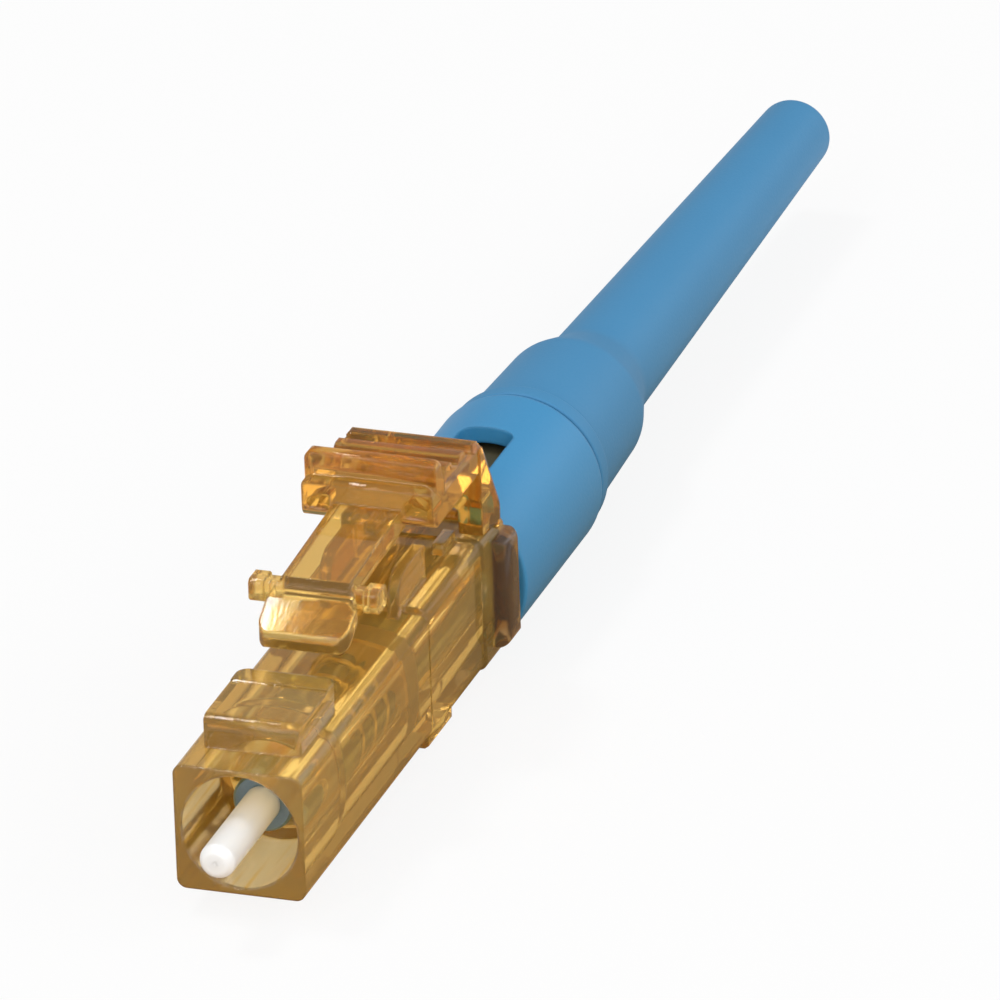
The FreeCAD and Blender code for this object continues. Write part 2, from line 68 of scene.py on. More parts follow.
MM = 0.001
cad_box = [list(corner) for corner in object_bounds()]
scene = bpy.context.scene
scene.view_settings.view_transform = "Standard"
print("CAD box in mm", [[round(value / MM, 2) for value in corner] for corner in cad_box])

# %% [markdown]
# The camera comes first, because every later judgement depends on it.
# A long lens from far away keeps the square nose and the thin boot in the photograph's proportions.
# The camera could be aimed by eye, but its azimuth, height and tilt were fitted to edges of known length
# instead, and three vectors made from those angles turn it directly.

# %% Camera
def camera_axes(azimuth, elevation, roll):
    """Right, up and forward of a camera that looks along +Y at azimuth 0 and is tilted by roll, in degrees."""
    a, e, r = (math.radians(angle) for angle in (azimuth, elevation, roll))
    forward = Vector((-math.sin(a) * math.cos(e), math.cos(a) * math.cos(e), -math.sin(e)))
    right = forward.cross(Vector((0, 0, 1))).normalized()
    up = right.cross(forward)
    return (right * math.cos(r) + up * math.sin(r), up * math.cos(r) - right * math.sin(r), forward)


FRAME_PIXELS = 1000
FOCAL_PIXELS = 20646.2
SENSOR_MM = 36
AZIMUTH, ELEVATION, ROLL = 19.82, 25.34, -2.16
DISTANCE_MM = 700
AIM = Vector((0, 20, 0)) * MM
AIM_PIXEL = (434.7, 582.3)
NEAREST, FARTHEST = 10 * MM, 20

right, up, forward = camera_axes(AZIMUTH, ELEVATION, ROLL)
eye = AIM - forward * DISTANCE_MM * MM
middle = FRAME_PIXELS / 2
forward = (forward + right * (middle - AIM_PIXEL[0]) / FOCAL_PIXELS
           + up * (AIM_PIXEL[1] - middle) / FOCAL_PIXELS).normalized()
right = forward.cross(up).normalized()
up = right.cross(forward)
camera = bpy.data.objects.new("camera", bpy.data.cameras.new("camera"))
scene.collection.objects.link(camera)
camera.data.sensor_width = SENSOR_MM
camera.data.lens = FOCAL_PIXELS * SENSOR_MM / FRAME_PIXELS
camera.data.clip_start, camera.data.clip_end = NEAREST, FARTHEST
turn = Matrix((right, up, -forward)).transposed().to_4x4()
camera.matrix_world = Matrix.Translation(eye) @ turn
scene.camera = camera
print("camera lens in mm", round(camera.data.lens, 1), "eye in mm", [round(v / MM, 1) for v in eye])

# %% [markdown]
# Finishes are written as sums. A small class wraps one socket of a node tree, so that 1 - mask or
# 0.3 + 0.1 * grain reads like arithmetic and adds the Math nodes by itself.
# Everything that isn't arithmetic goes through one method, node, which takes the node's type, its settings
# and the values or links of its sockets.

# %% A socket that can be added and multiplied
class Flow:
    def __init__(self, tree, link=None):
        self.tree, self.link = tree, link

    def node(self, kind, settings=None, inputs=None, out=0):
        """A new node in the same tree, as a Flow of one of its outputs."""
        made = self.tree.nodes.new(kind)
        for key, value in (settings or {}).items():
            setattr(made, key, value)
        for key, value in (inputs or {}).items():
            if isinstance(value, Flow):
                self.tree.links.new(value.link, made.inputs[key])
            else:
                made.inputs[key].default_value = value
        return Flow(self.tree, made.outputs[out] if made.outputs else None)

    def output(self, out):
        """Another output of the node that this socket belongs to."""
        return Flow(self.tree, self.link.node.outputs[out])

    def maths(self, operation, *values):
        return self.node("ShaderNodeMath", {"operation": operation}, dict(enumerate(values)))

    def __add__(self, other):
        return self.maths("ADD", self, other)

    def __sub__(self, other):
        return self.maths("SUBTRACT", self, other)

    def __rsub__(self, other):
        return self.maths("SUBTRACT", other, self)

    def __mul__(self, other):
        return self.maths("MULTIPLY", self, other)

    def __truediv__(self, other):
        return self.maths("DIVIDE", self, other)

    def __rtruediv__(self, other):
        return self.maths("DIVIDE", other, self)

    __radd__ = __add__
    __rmul__ = __mul__


print("sockets can be added, subtracted, multiplied and divided")

# %% [markdown]
# A finish starts from a shader and from Object coordinates, which stay with the piece when it moves.
# Colours could be painted on, but noise at the right scale gives grain, clouds and drawn lines that fit any
# shape. These helpers make the noise, mix two colours by it, and bend the surface by it.
# ripple also turns the normal round every edge where it is asked to, which makes an edge look rounded.

# %% Helpers for the finishes
EDGE_SAMPLES = 6


def start_finish(name, **constants):
    """A new material, its shader with constants set on its own sockets, and a Flow of object coordinates."""
    material = bpy.data.materials.new(name)
    material.use_nodes = True
    tree = material.node_tree
    shader = tree.nodes["Principled BSDF"]
    for socket, value in constants.items():
        shader.inputs[socket.replace("_", " ")].default_value = value
    return material, shader, Flow(tree).node("ShaderNodeTexCoord", out="Object")


def feed(shader, **flows):
    """Links each flow to the shader's socket of that name."""
    for socket, flow in flows.items():
        flow.tree.links.new(flow.link, shader.inputs[socket.replace("_", " ")])


def noise(place, size_mm, detail=2.0, stretch=(1, 1, 1)):
    """Soft noise whose spots are about size_mm wide, drawn out along an axis by stretch."""
    scale = [1 / value for value in stretch]
    scaled = place.node("ShaderNodeMapping", None, {"Vector": place, "Scale": scale})
    return place.node("ShaderNodeTexNoise", None,
                      {"Vector": scaled, "Scale": 1 / (size_mm * MM), "Detail": detail})


def tint(amount, first, second):
    """A colour between first and second, each of them three numbers or a Flow."""
    ends = [colour if isinstance(colour, Flow) else (*colour, 1) for colour in (first, second)]
    return amount.node("ShaderNodeMix", {"data_type": "RGBA"}, {0: amount, 6: ends[0], 7: ends[1]}, 2)


def soft_step(value, low, high):
    """0 up to low and 1 past high, with a soft step between."""
    return value.node("ShaderNodeMapRange", {"interpolation_type": "SMOOTHSTEP"},
                      {"Value": value, "From Min": low, "From Max": high})


def beyond(length, from_mm, to_mm):
    """0 up to from_mm and 1 past to_mm."""
    return soft_step(length, from_mm * MM, to_mm * MM)


def ripple(height, strength, distance_mm, edge_mm=0):
    """A normal bent by height, and turned round every edge within edge_mm as if the edge were rounded."""
    inputs = {"Strength": strength, "Distance": distance_mm * MM, "Height": height}
    if edge_mm:
        inputs["Normal"] = height.node("ShaderNodeBevel", {"samples": EDGE_SAMPLES}, {"Radius": edge_mm * MM})
    return height.node("ShaderNodeBump", None, inputs)


print("helpers for the finishes ready, with", EDGE_SAMPLES, "samples for a rounded edge")

# %% [markdown]
# The clear amber moulding is the look of this plug.
# It could be painted on as a brown gloss, but then the nose would be as dark inside as outside.
# Real clear plastic takes its colour from its depth, so the shader lets light through and an absorption volume
# with one colour and density for the whole moulding makes thick walls brown and thin edges pale.
# Long flow marks from the mould give the surface its faint stripes. A moulding has no sharp edge, and a
# rounded one is what catches the light, so the normal is turned round every edge within a sixth of a
# millimetre.
# The latch is moulded in one with the housing, but it is polished by fingers and has no inner walls to spread
# the light, so it gets its own copy of the finish, which is clearer, deeper and smoother.
# Where either moulding is a solid block, little light comes back out of it, and that shade is painted into the
# base colour by place: the ribs beside the rear flange, which have a dark gap behind them, get a painted brown
# shade, and the pad and the strut of the latch get a painted orange shade.
# The bore of the nose is thin-walled, and pale cream lines along it are painted highlights, for light mirrored
# off its smooth face and shining through its thin wall.

# %% Clear amber plastic
AMBER, PALE_AMBER, PAINTED_HIGHLIGHT_CREAM = (0.95, 0.645, 0.175), (0.98, 0.70, 0.23), (0.98, 0.90, 0.72)
# Painted shades: a brown for the ribs in front of the dark gap by the flange, and an orange for the solid pad and
# strut of the latch.
RIB_PAINTED_SHADE, PAD_PAINTED_SHADE = (0.40, 0.26, 0.17), (0.87, 0.53, 0.115)
DEPTH_AMBER = (0.87, 0.58, 0.10, 1)
BORE_R_MM, BORE_END_MM = (2.06, 2.12), (3.6, 3.9)
PAINTED_STREAK_LEVELS = (0.36, 0.52)
ANYWHERE_MM = (-1, -0.9)
AMBER_EDGE_MM = 0.16


def clear_amber(name, clearness, density, marks, shade_aside_mm, shade_along_mm, painted_shade_tint):
    """Clear plastic with a painted shade tint past a distance from the middle and past a place along Y."""
    material, shader, place = start_finish(name, IOR=1.46, Transmission_Weight=clearness,
                                           Specular_IOR_Level=0.0)
    flow_marks = noise(place, size_mm=0.35, detail=3.0, stretch=(1, 9, 1))
    cloud = noise(place, size_mm=2.5)
    across = place.node("ShaderNodeSeparateXYZ", None, {0: place})
    along, upward = across.output(1), across.output(2)
    aside = across.maths("ABSOLUTE", across)
    # painted shade: past this distance from the middle and this place along Y the base colour takes the shade
    # tint
    painted_shade = beyond(aside, *shade_aside_mm) * beyond(along, *shade_along_mm)
    from_axis = place.maths("SQRT", across * across + upward * upward)
    bore = (1 - beyond(from_axis, *BORE_R_MM)) * (1 - beyond(along, *BORE_END_MM))
    # painted highlight: cream lines along the bore wall
    painted_streaks = soft_step(noise(place, size_mm=0.5, detail=1.0, stretch=(1, 14, 1)), *PAINTED_STREAK_LEVELS)
    amber = tint(cloud, AMBER, PALE_AMBER)
    amber = tint(bore * painted_streaks, amber, PAINTED_HIGHLIGHT_CREAM)
    feed(shader, Base_Color=tint(painted_shade, amber, painted_shade_tint),
         Roughness=0.01 + 0.05 * cloud * flow_marks,
         Normal=ripple(0.3 * flow_marks + cloud, marks, distance_mm=0.06, edge_mm=AMBER_EDGE_MM))
    depth = place.node("ShaderNodeVolumeAbsorption", None, {"Color": DEPTH_AMBER, "Density": density})
    depth.tree.links.new(depth.link, depth.tree.nodes["Material Output"].inputs["Volume"])
    return material


# Painted shade: the ribs beside the rear flange take a brown tint.
housing_amber = clear_amber("clear amber plastic", clearness=0.85, density=110.0, marks=0.07,
                            shade_aside_mm=(2.42, 2.52), shade_along_mm=(18.7, 18.9), painted_shade_tint=RIB_PAINTED_SHADE)
# Painted shade: the latch's pad and strut take a deeper orange tint past y = 13.3 mm.
latch_amber = clear_amber("polished amber plastic", clearness=0.93, density=160.0, marks=0.025,
                          shade_aside_mm=ANYWHERE_MM, shade_along_mm=(13.3, 13.5), painted_shade_tint=PAD_PAINTED_SHADE)
print("made", housing_amber.name, "and", latch_amber.name)

# %% [markdown]
# The sleeve and the boot are both blue, but not the same stuff.
# The sleeve is a hard nylon with a satin face, and the boot is a softer rubber-like moulding with a finer,
# duller grain. One function makes both, with different grain and roughness.

# %% Blue sleeve and blue boot
def blue_moulding(name, colour, shade, rough, grain_mm, relief, edge_mm=0):
    material, shader, place = start_finish(name, IOR=1.5)
    grain = noise(place, grain_mm, detail=4.0)
    cloud = noise(place, size_mm=5.0)
    feed(shader, Base_Color=tint(cloud, shade, colour), Roughness=rough + 0.12 * grain,
         Normal=ripple(grain, relief, distance_mm=0.02, edge_mm=edge_mm))
    return material


sleeve_blue = blue_moulding("satin blue nylon", (0.044, 0.272, 0.530), (0.039, 0.254, 0.500),
                            rough=0.42, grain_mm=0.12, relief=0.25, edge_mm=0.14)
boot_blue = blue_moulding("soft blue rubber", (0.052, 0.248, 0.470), (0.046, 0.228, 0.440),
                          rough=0.52, grain_mm=0.10, relief=0.30)
print("made", sleeve_blue.name, "and", boot_blue.name)

# %% [markdown]
# The ferrule is a ground ceramic pin: white, dense and a little warm, with fine grinding rings round it.
# Light enters such a ceramic a little before it comes back, so the shader has some subsurface scattering.
# The stub of glass fibre in its middle shows only as a dot at the tip.

# %% Ceramic and fibre glass
def ground_ceramic():
    material, shader, place = start_finish("ground white ceramic", IOR=1.6, Subsurface_Weight=0.5,
                                           Subsurface_Radius=(1.0, 0.95, 0.85), Subsurface_Scale=1.2 * MM)
    rings = noise(place, size_mm=0.03, stretch=(40, 1, 40))
    cloud = noise(place, size_mm=1.2)
    feed(shader, Base_Color=tint(cloud, (0.86, 0.86, 0.84), (0.89, 0.89, 0.87)), Roughness=0.20 + 0.08 * rings,
         Normal=ripple(rings, strength=0.03, distance_mm=0.004))
    return material


def fibre_glass():
    material, shader, place = start_finish("fibre glass", IOR=1.46, Transmission_Weight=0.1)
    cloud = noise(place, size_mm=0.5)
    feed(shader, Base_Color=tint(cloud, (0.93, 0.93, 0.91), (0.96, 0.96, 0.95)), Roughness=0.10 + 0.06 * cloud)
    return material


ceramic = ground_ceramic()
fibre = fibre_glass()
print("made", ceramic.name, "and", fibre.name)

# %% [markdown]
# Inside the housing sit plainer mouldings and metal pieces, which show through the amber as shadows and glints.
# Their CAD shapes are right as they are, so each only gets a better finish: a moulded one with a fine grain, or
# a metal one with the lines that drawing it through a die leaves.

# %% The inner pieces
def plain_moulding(name, colour, shade, rough):
    material, shader, place = start_finish(name, IOR=1.5)
    grain = noise(place, size_mm=0.15, detail=3.0)
    cloud = noise(place, size_mm=1.5)
    feed(shader, Base_Color=tint(cloud, shade, colour), Roughness=rough + 0.10 * grain,
         Normal=ripple(grain, strength=0.15, distance_mm=0.02))
    return material


def drawn_metal(name, colour, shade, rough, stretch):
    material, shader, place = start_finish(name, Metallic=1.0)
    lines = noise(place, size_mm=0.06, stretch=stretch)
    feed(shader, Base_Color=tint(lines, shade, colour), Roughness=rough + 0.15 * lines,
         Normal=ripple(lines, strength=0.10, distance_mm=0.01))
    return material


splice_ivory = plain_moulding("ivory splice plastic", (0.72, 0.70, 0.64), (0.66, 0.64, 0.58), rough=0.45)
inner_finish = {
    "ferrule_holder": drawn_metal("plated carrier metal", (0.24, 0.34, 0.42), (0.18, 0.26, 0.33),
                                  rough=0.26, stretch=(1, 6, 1)),
    "upper_splice_plate": splice_ivory,
    "lower_splice_plate": splice_ivory,
    "cam_ring": plain_moulding("olive cam plastic", (0.110, 0.095, 0.050), (0.090, 0.078, 0.040), rough=0.42),
    "spring_retainer": plain_moulding("tan retainer plastic", (0.60, 0.46, 0.26), (0.54, 0.40, 0.22), rough=0.42),
    "lead_in_tube": plain_moulding("white tube plastic", (0.80, 0.79, 0.75), (0.74, 0.73, 0.69), rough=0.42),
    "crimp_tube": drawn_metal("plated crimp metal", (0.72, 0.66, 0.52), (0.62, 0.56, 0.43),
                              rough=0.24, stretch=(1, 8, 1)),
    "fibre_stub": fibre,
}
for name, finish in inner_finish.items():
    nodes[name].data.materials.clear()
    nodes[name].data.materials.append(finish)
    print("finish of", name, "is", finish.name)

# %% [markdown]
# The housing and the latch lever have the right shape in the CAD model, but its mesh is loose triangles.
# They could be modelled again from nothing. Instead each gets a dressed copy: the triangles are merged, flat
# neighbours are joined into one face, curved faces are shaded smooth, and edges over 30 degrees stay crisp for
# the finish to round. Normals weighted by area keep a large flat face flat right up to the round beside it.

# %% Housing and latch lever as joined faces
SAME_POINT = 1e-7
FLAT_DEGREES, CRISP_DEGREES = 0.6, 30
AREA_WEIGHT = 90


def joined_faces(node, name, body, finish):
    mesh = nodes[node].data.copy()
    mesh.name = name
    work = bmesh.new()
    work.from_mesh(mesh)
    bmesh.ops.remove_doubles(work, verts=work.verts, dist=SAME_POINT)
    bmesh.ops.dissolve_limit(work, angle_limit=math.radians(FLAT_DEGREES), verts=work.verts, edges=work.edges)
    for face in work.faces:
        face.smooth = True
    work.to_mesh(mesh)
    work.free()
    mesh.set_sharp_from_angle(angle=math.radians(CRISP_DEGREES))
    mesh.materials.clear()
    mesh.materials.append(finish)
    piece = bpy.data.objects.new(name, mesh)
    scene.collection.objects.link(piece)
    level = piece.modifiers.new("flat faces stay flat", "WEIGHTED_NORMAL")
    level.weight = AREA_WEIGHT
    level.keep_sharp = True
    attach(piece, body)
    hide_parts(node)
    print(name, "faces", len(mesh.polygons))


joined_faces("housing", "amber_housing", "shell", housing_amber)
joined_faces("latch_lever", "amber_latch_lever", "lever", latch_amber)

# %% [markdown]
# The sleeve, the boot and the ferrule are round, so a lathe makes them, and a lathe needs a section to turn.
# The section could be drawn by hand as a curve. Here it is a list of corners in millimetres with a rounding
# each, so that a size can be changed without drawing anything again.

# %% A section with rounded corners
ROUNDING_STEPS = 8


def rounded_section(corners):
    """Points of a closed section from corners (radius, y, rounding), each rounding split into steps."""
    points = []
    for i, (r, y, rounding) in enumerate(corners):
        here = Vector((r, y))
        before = Vector(corners[i - 1][:2]) - here
        after = Vector(corners[(i + 1) % len(corners)][:2]) - here
        if rounding == 0:
            points.append(here)
            continue
        half_angle = before.angle(after) / 2
        reach = min(rounding / math.tan(half_angle), before.length / 2, after.length / 2)
        start, end = here + before.normalized() * reach, here + after.normalized() * reach
        for k in range(ROUNDING_STEPS + 1):
            t = k / ROUNDING_STEPS
            points.append(start * (1 - t) ** 2 + here * 2 * t * (1 - t) + end * t ** 2)
    return points + points[:1]


print("a rounded corner has", ROUNDING_STEPS + 1, "points")

# %% [markdown]
# Two kinds of form on this plug follow a rule and come from Geometry Nodes: what a lathe turns, and the wire of
# the spring. A tree could be put together in the editor, but a script makes the same one each time.
# The helpers start a tree with named inputs, end it with real geometry that carries its finish, and run it on
# an object. The last one keeps the result as a plain closed mesh, which needs no modifier any more.

# %% Helpers for Geometry Nodes
DOUBLE_MM = 0.0001


def start_tree(name, kinds, result):
    """A new tree with an input of each kind and one output, and a Flow for each input."""
    tree = bpy.data.node_groups.new(name, "GeometryNodeTree")
    for socket, kind in kinds.items():
        tree.interface.new_socket(socket, in_out="INPUT", socket_type="NodeSocket" + kind)
    tree.interface.new_socket(result, in_out="OUTPUT", socket_type="NodeSocketGeometry")
    source = Flow(tree).node("NodeGroupInput")
    return tree, {socket: source.output(socket) for socket in kinds}


def end_tree(shape, finish):
    real = shape.node("GeometryNodeRealizeInstances", None, {"Geometry": shape})
    dressed = real.node("GeometryNodeSetMaterial", None, {"Geometry": real, "Material": finish})
    dressed.node("NodeGroupOutput", None, {0: dressed})


def run_tree(piece, tree, values):
    """Puts the tree on the piece as a modifier and sets its inputs by their identifiers."""
    modifier = piece.modifiers.new(tree.name, "NODES")
    modifier.node_group = tree
    identifiers = {item.name: item.identifier for item in tree.interface.items_tree}
    for name, value in values.items():
        modifier[identifiers[name]] = value


def as_plain_mesh(piece, name, sharp_degrees):
    """Keeps what the modifiers give as a plain closed mesh with outward faces, and drops the modifiers."""
    depsgraph = bpy.context.evaluated_depsgraph_get()
    mesh = bpy.data.meshes.new_from_object(piece.evaluated_get(depsgraph))
    piece.modifiers.clear()
    work = bmesh.new()
    work.from_mesh(mesh)
    bmesh.ops.remove_doubles(work, verts=work.verts, dist=DOUBLE_MM * MM)
    bmesh.ops.recalc_face_normals(work, faces=work.faces)
    for face in work.faces:
        face.smooth = True
    work.to_mesh(mesh)
    work.free()
    mesh.set_sharp_from_angle(angle=math.radians(sharp_degrees))
    mesh.name = name
    piece.data = mesh


print("helpers for Geometry Nodes ready, points closer than", DOUBLE_MM, "mm are merged")

# %% [markdown]
# Spin would do for one round piece, but a small tree can turn any section: it lays a grid, bends each row round
# the axis and looks up its radius in the section. Row after row of the grid is one step further round, and the
# last row meets the first, where the two are merged.

# %% A lathe
LATHE_STEPS = 96
SEAM_MM = 0.0002
TURNED_SHARP_DEGREES = 35


def lathe_tree():
    tree, sizes = start_tree("lathe", {"Section": "Geometry", "Steps": "Int", "Corners": "Int",
                                       "Finish": "Material"}, "Turned")
    section, steps, corners = sizes["Section"], sizes["Steps"], sizes["Corners"]
    grid = section.node("GeometryNodeMeshGrid", None, {"Vertices X": steps + 1, "Vertices Y": corners})
    index = section.node("GeometryNodeInputIndex")
    row = index.maths("FLOOR", index / corners)
    corner = index - row * corners
    angle = row * (2 * math.pi) / steps
    where = section.node("GeometryNodeInputPosition")
    found = section.node("GeometryNodeSampleIndex", {"data_type": "FLOAT_VECTOR", "domain": "POINT"},
                         {"Geometry": section, "Value": where, "Index": corner})
    radius = found.node("ShaderNodeSeparateXYZ", None, {0: found})
    along = radius.output(1)
    place = section.node("ShaderNodeCombineXYZ", None, {
        0: radius * angle.maths("COSINE", angle), 1: along, 2: radius * angle.maths("SINE", angle)})
    bent = section.node("GeometryNodeSetPosition", None, {"Geometry": grid, "Position": place})
    whole = section.node("GeometryNodeMergeByDistance", None, {"Geometry": bent, "Distance": SEAM_MM * MM})
    end_tree(whole, sizes["Finish"])
    return tree


LATHE = lathe_tree()
print("lathe inputs and output", [item.name for item in LATHE.interface.items_tree])


def turned_piece(name, corners, finish):
    points = rounded_section(corners)
    edges = [(i, i + 1) for i in range(len(points) - 1)]
    mesh = bpy.data.meshes.new(name + "_section")
    mesh.from_pydata([(p.x * MM, p.y * MM, 0) for p in points], edges, [])
    piece = bpy.data.objects.new(name, mesh)
    scene.collection.objects.link(piece)
    run_tree(piece, LATHE, {"Steps": LATHE_STEPS, "Corners": len(points), "Finish": finish})
    as_plain_mesh(piece, name, TURNED_SHARP_DEGREES)
    print(name, "faces", len(piece.data.polygons))
    return piece


# %% [markdown]
# The sleeve is a hard tube pressed on the tail of the housing, with a rounded rear edge, a narrower bore there
# that holds the boot, and a notch on top that shows the cam ring inside. The tube comes off the lathe whole.
# The notch could be left out of its section only all the way round, so it is cut afterwards with a Boolean:
# its plan is drawn with the same rounded corners and raised to a block.
# The rear end lies half a millimetre before the CAD model's, where the photograph has it.

# %% Sleeve
TAIL_WALL, SPIGOT_WALL = 0.60, 0.75
END_SHIFT = 0.50
NARROW_FROM, WIDE_TO = 1.70, 1.85
NOTCH_HALF, NOTCH_LENGTH, NOTCH_ROUNDING = 0.975, 5.40, 0.40
SPARE = 1


def raised_block(name, corners, height_mm, finish):
    """A block on the XY plane from corners (x, y, rounding) in millimetres, whose cuts get its finish."""
    work = bmesh.new()
    base = work.faces.new([work.verts.new((p.x * MM, p.y * MM, 0)) for p in rounded_section(corners)[:-1]])
    raised = bmesh.ops.extrude_face_region(work, geom=[base])["geom"]
    top = [item for item in raised if isinstance(item, bmesh.types.BMVert)]
    bmesh.ops.translate(work, vec=(0, 0, height_mm * MM), verts=top)
    bmesh.ops.recalc_face_normals(work, faces=work.faces)
    block = bpy.data.objects.new(name, bpy.data.meshes.new(name))
    work.to_mesh(block.data)
    work.free()
    block.data.materials.append(finish)
    scene.collection.objects.link(block)
    return block


sleeve_low, sleeve_high = (corner.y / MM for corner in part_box("rear_sleeve"))
sleeve_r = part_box("rear_sleeve")[1].x / MM
tail_r, spigot_r = sleeve_r - TAIL_WALL, sleeve_r - SPIGOT_WALL
sleeve_end = sleeve_high - END_SHIFT
sleeve = turned_piece("blue_rear_sleeve", [
    (tail_r, sleeve_low, 0), (sleeve_r, sleeve_low, 0.12),
    (sleeve_r, sleeve_end, 0.35), (spigot_r, sleeve_end, 0.08),
    (spigot_r, sleeve_high - NARROW_FROM, 0), (tail_r, sleeve_high - WIDE_TO, 0)], sleeve_blue)
notch_end = sleeve_low + NOTCH_LENGTH
block = raised_block("notch_block", [
    (-NOTCH_HALF, sleeve_low - SPARE, 0), (NOTCH_HALF, sleeve_low - SPARE, 0),
    (NOTCH_HALF, notch_end, NOTCH_ROUNDING), (-NOTCH_HALF, notch_end, NOTCH_ROUNDING)],
    sleeve_r + SPARE, sleeve_blue)
cut = sleeve.modifiers.new("notch", "BOOLEAN")
cut.object = block
cut.operation = "DIFFERENCE"
cut.solver = "EXACT"
as_plain_mesh(sleeve, "blue_rear_sleeve", TURNED_SHARP_DEGREES)
bpy.data.objects.remove(block)
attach(sleeve, "shell")
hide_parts("rear_sleeve")
print("sleeve with its notch, faces", len(sleeve.data.polygons))

# %% [markdown]
# The boot is one soft moulding: a spigot hidden in the sleeve, a thin lip, a collar that narrows a little, a
# rounded shoulder and the long taper with the hole for the fibre at its end.
# It is turned straight, as it comes out of its mould, and then its points are moved sideways little by little,
# because a soft boot never lies quite straight: here the end leans by about a third of a millimetre.

# %% Boot
CAVITY_R, SPIGOT_R, LIP_R = 1.57, 2.35, 2.98
GROOVE_R, COLLAR_R, SHOULDER_R, TAPER_R, END_R, HOLE_R = 2.70, 2.76, 2.58, 1.92, 1.30, 0.55
LIP_GAP, LIP_LENGTH = 0.15, 0.70
GROOVE, COLLAR, SHOULDER, TAPER = 0.05, 0.35, 4.90, 6.90
HOLE_LENGTH, HOLE_AND_FUNNEL = 23.4, 24.1
LEAN_MM, LEAN_AFTER, LEAN_POWER = 0.36, 2.0, 1.2

boot_low, boot_high = (corner.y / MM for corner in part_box("boot"))
lip_y = sleeve_end + LIP_GAP
collar_y = lip_y + LIP_LENGTH
boot = turned_piece("blue_boot", [
    (CAVITY_R, boot_low, 0), (SPIGOT_R, boot_low, 0.10), (SPIGOT_R, lip_y, 0.05),
    (LIP_R, lip_y, 0.12), (LIP_R, collar_y, 0.14),
    (GROOVE_R, collar_y + GROOVE, 0.06), (COLLAR_R, collar_y + COLLAR, 0.30),
    (SHOULDER_R, collar_y + SHOULDER, 1.6), (TAPER_R, collar_y + TAPER, 2.6),
    (END_R, boot_high, 0.42), (HOLE_R, boot_high, 0.12),
    (HOLE_R, boot_high - HOLE_LENGTH, 0.2), (CAVITY_R, boot_high - HOLE_AND_FUNNEL, 0.2)], boot_blue)
lean_from = collar_y + LEAN_AFTER
for vertex in boot.data.vertices:
    share = max(0.0, (vertex.co.y / MM - lean_from) / (boot_high - lean_from))
    vertex.co.x += LEAN_MM * MM * share ** LEAN_POWER
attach(boot, "shell")
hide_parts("boot")
print("boot leans by", LEAN_MM, "mm at its end")

# %% [markdown]
# The ferrule ends in a small cone and a slightly rounded tip with the fibre in its middle.
# The visible pin is the thick part before the holder's hub. Behind it a thinner stem sits in the holder, with a
# funnel at its rear where the fibre goes in. The lathe turns all of it at once.

# %% Ferrule
FIBRE_HOLE_R, TIP_R, FERRULE_R, STEM_R, FUNNEL_R = 0.064, 0.42, 0.625, 0.455, 0.30
TIP_BEHIND, CONE_LENGTH, FUNNEL_LENGTH = 0.005, 0.24, 0.3

tip_y, ferrule_rear = (corner.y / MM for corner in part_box("ferrule"))
hub_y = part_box("ferrule_holder")[0].y / MM
ferrule = turned_piece("white_ferrule", [
    (FIBRE_HOLE_R, tip_y + TIP_BEHIND, 0), (TIP_R, tip_y + TIP_BEHIND, 0.25),
    (FERRULE_R, tip_y + CONE_LENGTH, 0.30), (FERRULE_R, hub_y, 0),
    (STEM_R, hub_y, 0), (STEM_R, ferrule_rear, 0),
    (FUNNEL_R, ferrule_rear, 0), (FIBRE_HOLE_R, ferrule_rear - FUNNEL_LENGTH, 0)], ceramic)
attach(ferrule, "carrier")
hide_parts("ferrule")
print("ferrule length in mm", round(ferrule_rear - tip_y, 2))

# %% [markdown]
# The coil spring pushes the ferrule forward, and shows only as a few glints deep in the amber.
# It could be a curve with a round bevel, but a wire that follows a spiral is a rule, so Geometry Nodes draw it:
# a spiral, a round wire swept along it, and the whole laid along Y.

# %% Coil spring
WIRE_R_MM = 0.11
SPRING_TURNS = 4.0
STEPS_PER_TURN, WIRE_SIDES = 36, 12
SPRING_SHARP_DEGREES = 60


def spring_tree():
    tree, sizes = start_tree("spring", {"Turns": "Float", "Coil radius": "Float", "Wire radius": "Float",
                                        "Height": "Float", "Start": "Vector", "Finish": "Material"}, "Spring")
    turns = sizes["Turns"]
    spiral = turns.node("GeometryNodeCurveSpiral", None, {
        "Resolution": STEPS_PER_TURN, "Rotations": turns, "Height": sizes["Height"],
        "Start Radius": sizes["Coil radius"], "End Radius": sizes["Coil radius"]})
    ring = turns.node("GeometryNodeCurvePrimitiveCircle", None, {
        "Resolution": WIRE_SIDES, "Radius": sizes["Wire radius"]})
    wire = turns.node("GeometryNodeCurveToMesh", None, {
        "Curve": spiral, "Profile Curve": ring, "Fill Caps": True})
    laid = turns.node("GeometryNodeTransform", None, {
        "Geometry": wire, "Translation": sizes["Start"], "Rotation": (math.radians(-90), 0, 0)})
    end_tree(laid, sizes["Finish"])
    return tree


spring_steel = drawn_metal("drawn spring steel", (0.62, 0.62, 0.63), (0.52, 0.52, 0.54),
                           rough=0.22, stretch=(6, 1, 6))
spring_low, spring_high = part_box("coil_spring")
spring_length = spring_high.y - spring_low.y
spring = bpy.data.objects.new("steel_spring", bpy.data.meshes.new("steel_spring"))
scene.collection.objects.link(spring)
run_tree(spring, spring_tree(), {
    "Turns": SPRING_TURNS, "Coil radius": spring_high.x - WIRE_R_MM * MM, "Wire radius": WIRE_R_MM * MM,
    "Height": spring_length - 2 * WIRE_R_MM * MM, "Start": (0, spring_low.y + WIRE_R_MM * MM, 0),
    "Finish": spring_steel})
as_plain_mesh(spring, "steel_spring", SPRING_SHARP_DEGREES)
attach(spring, "shell")
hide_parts("coil_spring")
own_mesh(spring)
print("steel_spring faces", len(spring.data.polygons), "length in mm", round(spring_length / MM, 2))
